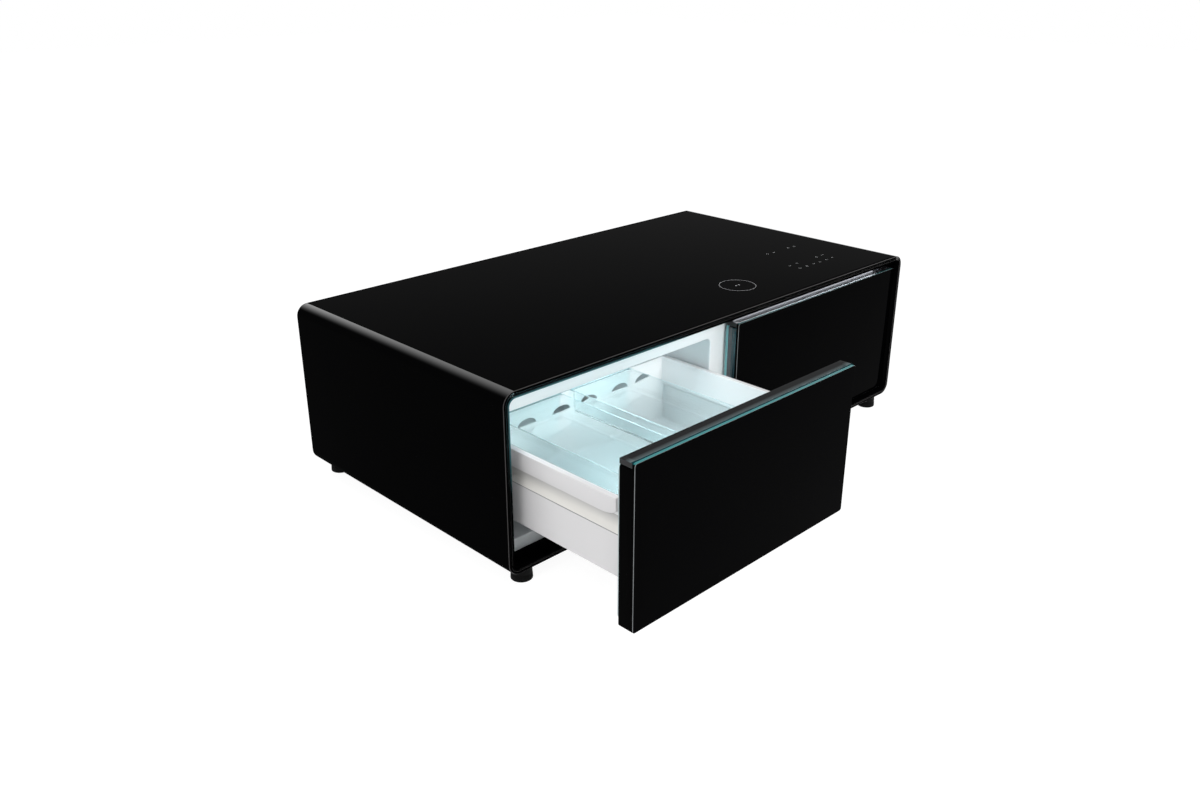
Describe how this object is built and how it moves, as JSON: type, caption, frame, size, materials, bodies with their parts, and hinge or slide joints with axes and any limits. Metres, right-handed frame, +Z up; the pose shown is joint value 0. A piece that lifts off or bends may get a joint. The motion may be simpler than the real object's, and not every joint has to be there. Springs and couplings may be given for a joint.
{
  "type": "refrigerated coffee table",
  "caption": "Low black glass-topped coffee table with two refrigerated drawers on telescopic runners, clear hanging trays, one drawer pulled out.",
  "frame": {"origin": "on the floor, under the middle of the footprint with the left drawer pulled out", "axes": "+X along the table to the right as seen from the drawers, +Y from the drawer fronts to the back, +Z up"},
  "size_m": [1.3, 1.001, 0.404],
  "materials": {
    "board_green": "printed circuit board",
    "box_white": "white moulding, semi-gloss",
    "case_gloss_black": "polished black, wrap-round case",
    "coil_copper": "wound copper on a ferrite plate",
    "control_grey": "grey moulding",
    "drip_tray_black": "black moulding",
    "duct_white": "white moulding",
    "evaporator_aluminium": "plain aluminium",
    "fan_black": "black moulding",
    "foam_cream": "rigid insulating foam",
    "foot_rubber": "black rubber",
    "frame_gloss_black": "gloss black",
    "front_core_black": "gloss black moulding",
    "front_glass_black": "black back-printed glass with a teal cut edge",
    "gasket_grey": "soft light grey seal",
    "grip_satin_grey": "satin grey strip",
    "inlet_black": "black moulding with metal pins",
    "light_strip": "frosted light cover",
    "liner_white": "white vacuum-formed lining",
    "machine_black": "black enamel",
    "pipe_copper": "copper pipe",
    "rear_cover_black": "textured black",
    "runner_zinc": "zinc-plated steel",
    "screw_zinc": "zinc-plated steel",
    "top_glass_black": "black back-printed glass",
    "tray_clear": "clear moulding, glossy"
  },
  "bodies": {
    "cabinet": {"outer_case": "case_gloss_black", "top_glass": "top_glass_black", "front_frame": "frame_gloss_black", "charging_coil": "coil_copper", "touch_board": "board_green", "foot_front_left": "foot_rubber", "foot_back_left": "foot_rubber", "foot_front_right": "foot_rubber", "foot_back_right": "foot_rubber", "insulation": "foam_cream", "liner_left": "liner_white", "interior_light_left": "light_strip", "duct_cover_left": "duct_white", "evaporator_left": "evaporator_aluminium", "liner_right": "liner_white", "interior_light_right": "light_strip", "duct_cover_right": "duct_white", "evaporator_right": "evaporator_aluminium", "left_runner_fixed_inner": "runner_zinc", "left_runner_fixed_outer": "runner_zinc", "right_runner_fixed_inner": "runner_zinc", "right_runner_fixed_outer": "runner_zinc", "compressor": "machine_black", "condenser": "machine_black", "cooling_fan_frame": "fan_black", "drip_tray": "drip_tray_black", "control_box": "control_grey", "discharge_pipe": "pipe_copper", "suction_pipe": "pipe_copper", "rear_cover": "rear_cover_black", "rear_screw_low_left": "screw_zinc", "rear_screw_low_right": "screw_zinc", "rear_screw_high_left": "screw_zinc", "rear_screw_high_right": "screw_zinc", "power_inlet": "inlet_black"},
    "left_drawer": {"left_front_glass": "front_glass_black", "left_front_core": "front_core_black", "left_grip_strip": "grip_satin_grey", "left_gasket": "gasket_grey", "left_drawer_box": "box_white", "left_runner_drawer_inner": "runner_zinc", "left_runner_drawer_outer": "runner_zinc"},
    "left_runner_middles": {"left_runner_middle_inner": "runner_zinc", "left_runner_middle_outer": "runner_zinc"},
    "left_tray_a": {"left_tray_a": "tray_clear"},
    "left_tray_b": {"left_tray_b": "tray_clear"},
    "circulation_fan_left": {"circulation_fan_left": "fan_black"},
    "right_drawer": {"right_front_glass": "front_glass_black", "right_front_core": "front_core_black", "right_grip_strip": "grip_satin_grey", "right_gasket": "gasket_grey", "right_drawer_box": "box_white", "right_runner_drawer_inner": "runner_zinc", "right_runner_drawer_outer": "runner_zinc"},
    "right_runner_middles": {"right_runner_middle_inner": "runner_zinc", "right_runner_middle_outer": "runner_zinc"},
    "right_tray_a": {"right_tray_a": "tray_clear"},
    "right_tray_b": {"right_tray_b": "tray_clear"},
    "circulation_fan_right": {"circulation_fan_right": "fan_black"},
    "cooling_fan": {"cooling_fan": "fan_black"}
  },
  "joints": [
    {"name": "left_drawer_slide", "type": "slide", "parent": "cabinet", "child": "left_drawer", "axis": [0, -1, 0], "range_m": [-0.31, 0.09]},
    {"name": "left_runner_middle_slide", "type": "slide", "parent": "cabinet", "child": "left_runner_middles", "axis": [0, -1, 0], "range_m": [-0.155, 0.045]},
    {"name": "left_tray_a_slide", "type": "slide", "parent": "left_drawer", "child": "left_tray_a", "axis": [1, 0, 0], "range_m": [-0.05, 0.012]},
    {"name": "left_tray_b_slide", "type": "slide", "parent": "left_drawer", "child": "left_tray_b", "axis": [1, 0, 0], "range_m": [-0.012, 0.105]},
    {"name": "right_drawer_slide", "type": "slide", "parent": "cabinet", "child": "right_drawer", "axis": [0, -1, 0], "range_m": [0, 0.4]},
    {"name": "right_runner_middle_slide", "type": "slide", "parent": "cabinet", "child": "right_runner_middles", "axis": [0, -1, 0], "range_m": [0, 0.2]},
    {"name": "right_tray_a_slide", "type": "slide", "parent": "right_drawer", "child": "right_tray_a", "axis": [1, 0, 0], "range_m": [-0.05, 0.012]},
    {"name": "right_tray_b_slide", "type": "slide", "parent": "right_drawer", "child": "right_tray_b", "axis": [1, 0, 0], "range_m": [-0.012, 0.105]},
    {"name": "circulation_fan_left_spin", "type": "hinge", "parent": "cabinet", "child": "circulation_fan_left", "pos_m": [-0.18, 0.3035, 0.2065], "axis": [0, 1, 0], "continuous": true},
    {"name": "circulation_fan_right_spin", "type": "hinge", "parent": "cabinet", "child": "circulation_fan_right", "pos_m": [0.18, 0.3035, 0.2065], "axis": [0, 1, 0], "continuous": true},
    {"name": "cooling_fan_spin", "type": "hinge", "parent": "cabinet", "child": "cooling_fan", "pos_m": [0.137, 0.43135, 0.0923], "axis": [1, 0, 0], "continuous": true}
  ],
  "couplings": [
    {"joint": "left_runner_middle_slide", "follows": "left_drawer_slide", "ratio": 0.5},
    {"joint": "right_runner_middle_slide", "follows": "right_drawer_slide", "ratio": 0.5}
  ]
}
